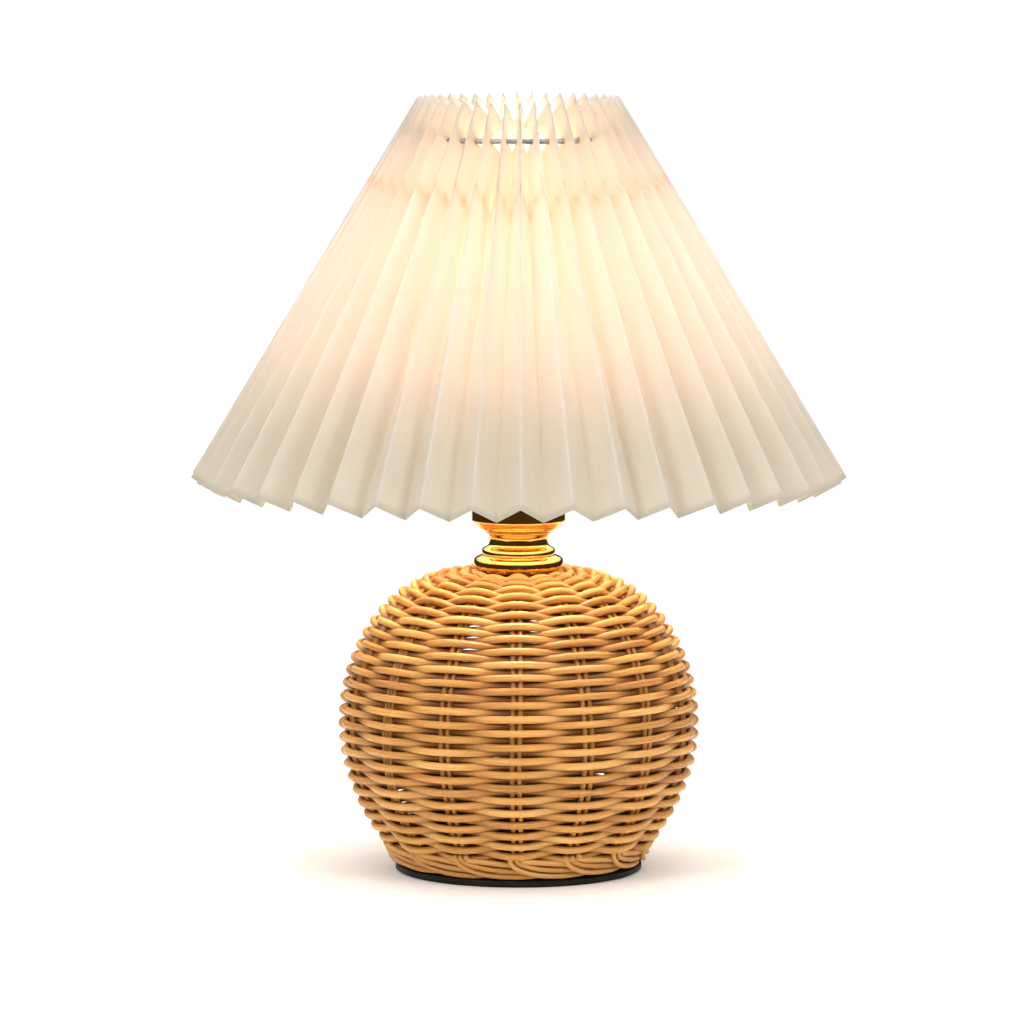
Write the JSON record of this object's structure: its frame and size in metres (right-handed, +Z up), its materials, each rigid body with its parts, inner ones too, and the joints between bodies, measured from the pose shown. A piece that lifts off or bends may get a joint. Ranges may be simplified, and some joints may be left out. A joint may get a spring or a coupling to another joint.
{
  "type": "table lamp",
  "caption": "Table lamp: woven cane ball on a weighted round foot, turned brass neck, screw-in bulb and an accordion-pleated conical cloth shade on a wire frame.",
  "frame": {"origin": "middle of the underside of the foot pad", "axes": "+Z up along the lamp's axis, -Y to the front, cord bush at the back (+Y)"},
  "size_m": [0.2992, 0.2998, 0.3549],
  "materials": {
    "foot_pad": "matt",
    "black_plate": "satin",
    "steel": "plain zinc",
    "cast_weight": "rough",
    "board_wood": "unfinished",
    "cane": "natural, lightly waxed",
    "polished_brass": "mirror polished",
    "contact_brass": "plain",
    "holder_plastic": "satin",
    "holder_ceramic": "unglazed",
    "bush_plastic": "matt",
    "bulb_metal": "bright",
    "bulb_solder": "dull",
    "bulb_black_glass": "gloss",
    "bulb_glass": "frosted, glowing warm white",
    "bulb_inner_glass": "clear",
    "filament": "glowing warm white",
    "frame_wire": "plain",
    "shade_cloth": "ivory linen, translucent"
  },
  "bodies": {
    "base": {"foot_pad": "foot_pad", "base_plate": "black_plate", "base_screws": "steel", "base_board": "board_wood", "cord_bush": "bush_plastic", "wicker_body": "cane", "wicker_foot_border": "cane", "crown_disc": "board_wood", "threaded_rod": "steel", "rod_foot_washer": "steel", "rod_foot_nut": "steel", "ballast_weight": "cast_weight", "ballast_washer": "steel", "ballast_nut": "steel", "neck_base": "polished_brass", "neck_collar": "polished_brass", "neck_cup": "polished_brass", "neck_washer": "steel", "neck_locknut": "steel", "lampholder_base": "holder_plastic", "lampholder_body": "holder_plastic", "lampholder_insert": "holder_ceramic", "lampholder_terminal_screws": "contact_brass", "lampholder_thread_shell": "contact_brass", "lampholder_centre_contact": "contact_brass", "lampholder_side_contact": "contact_brass", "lampholder_ring_nut": "holder_plastic"},
    "shade": {"frame_fitter_ring": "frame_wire", "frame_arms": "frame_wire", "frame_top_ring": "frame_wire", "pleated_shade": "shade_cloth"},
    "bulb_foot": {"bulb_tip": "bulb_solder", "bulb_insulator": "bulb_black_glass"},
    "bulb": {"bulb_cap": "bulb_metal", "bulb_globe": "bulb_glass", "bulb_stem": "bulb_inner_glass", "bulb_filaments": "filament", "bulb_lead_wires": "bulb_metal"}
  },
  "joints": [
    {"name": "shade_turn", "type": "hinge", "parent": "base", "child": "shade", "pos_m": [0, 0, 0.2], "axis": [0, 0, 1], "continuous": true},
    {"name": "bulb_rise", "type": "slide", "parent": "base", "child": "bulb_foot", "axis": [0, 0, 1], "range_m": [0, 0.01089]},
    {"name": "bulb_turn", "type": "hinge", "parent": "bulb_foot", "child": "bulb", "pos_m": [0, 0, 0.2], "axis": [0, 0, 1], "range_deg": [0, 1080]}
  ],
  "couplings": [
    {"joint": "bulb_rise", "follows": "bulb_turn", "m_per_rad": 0.00057757}
  ]
}
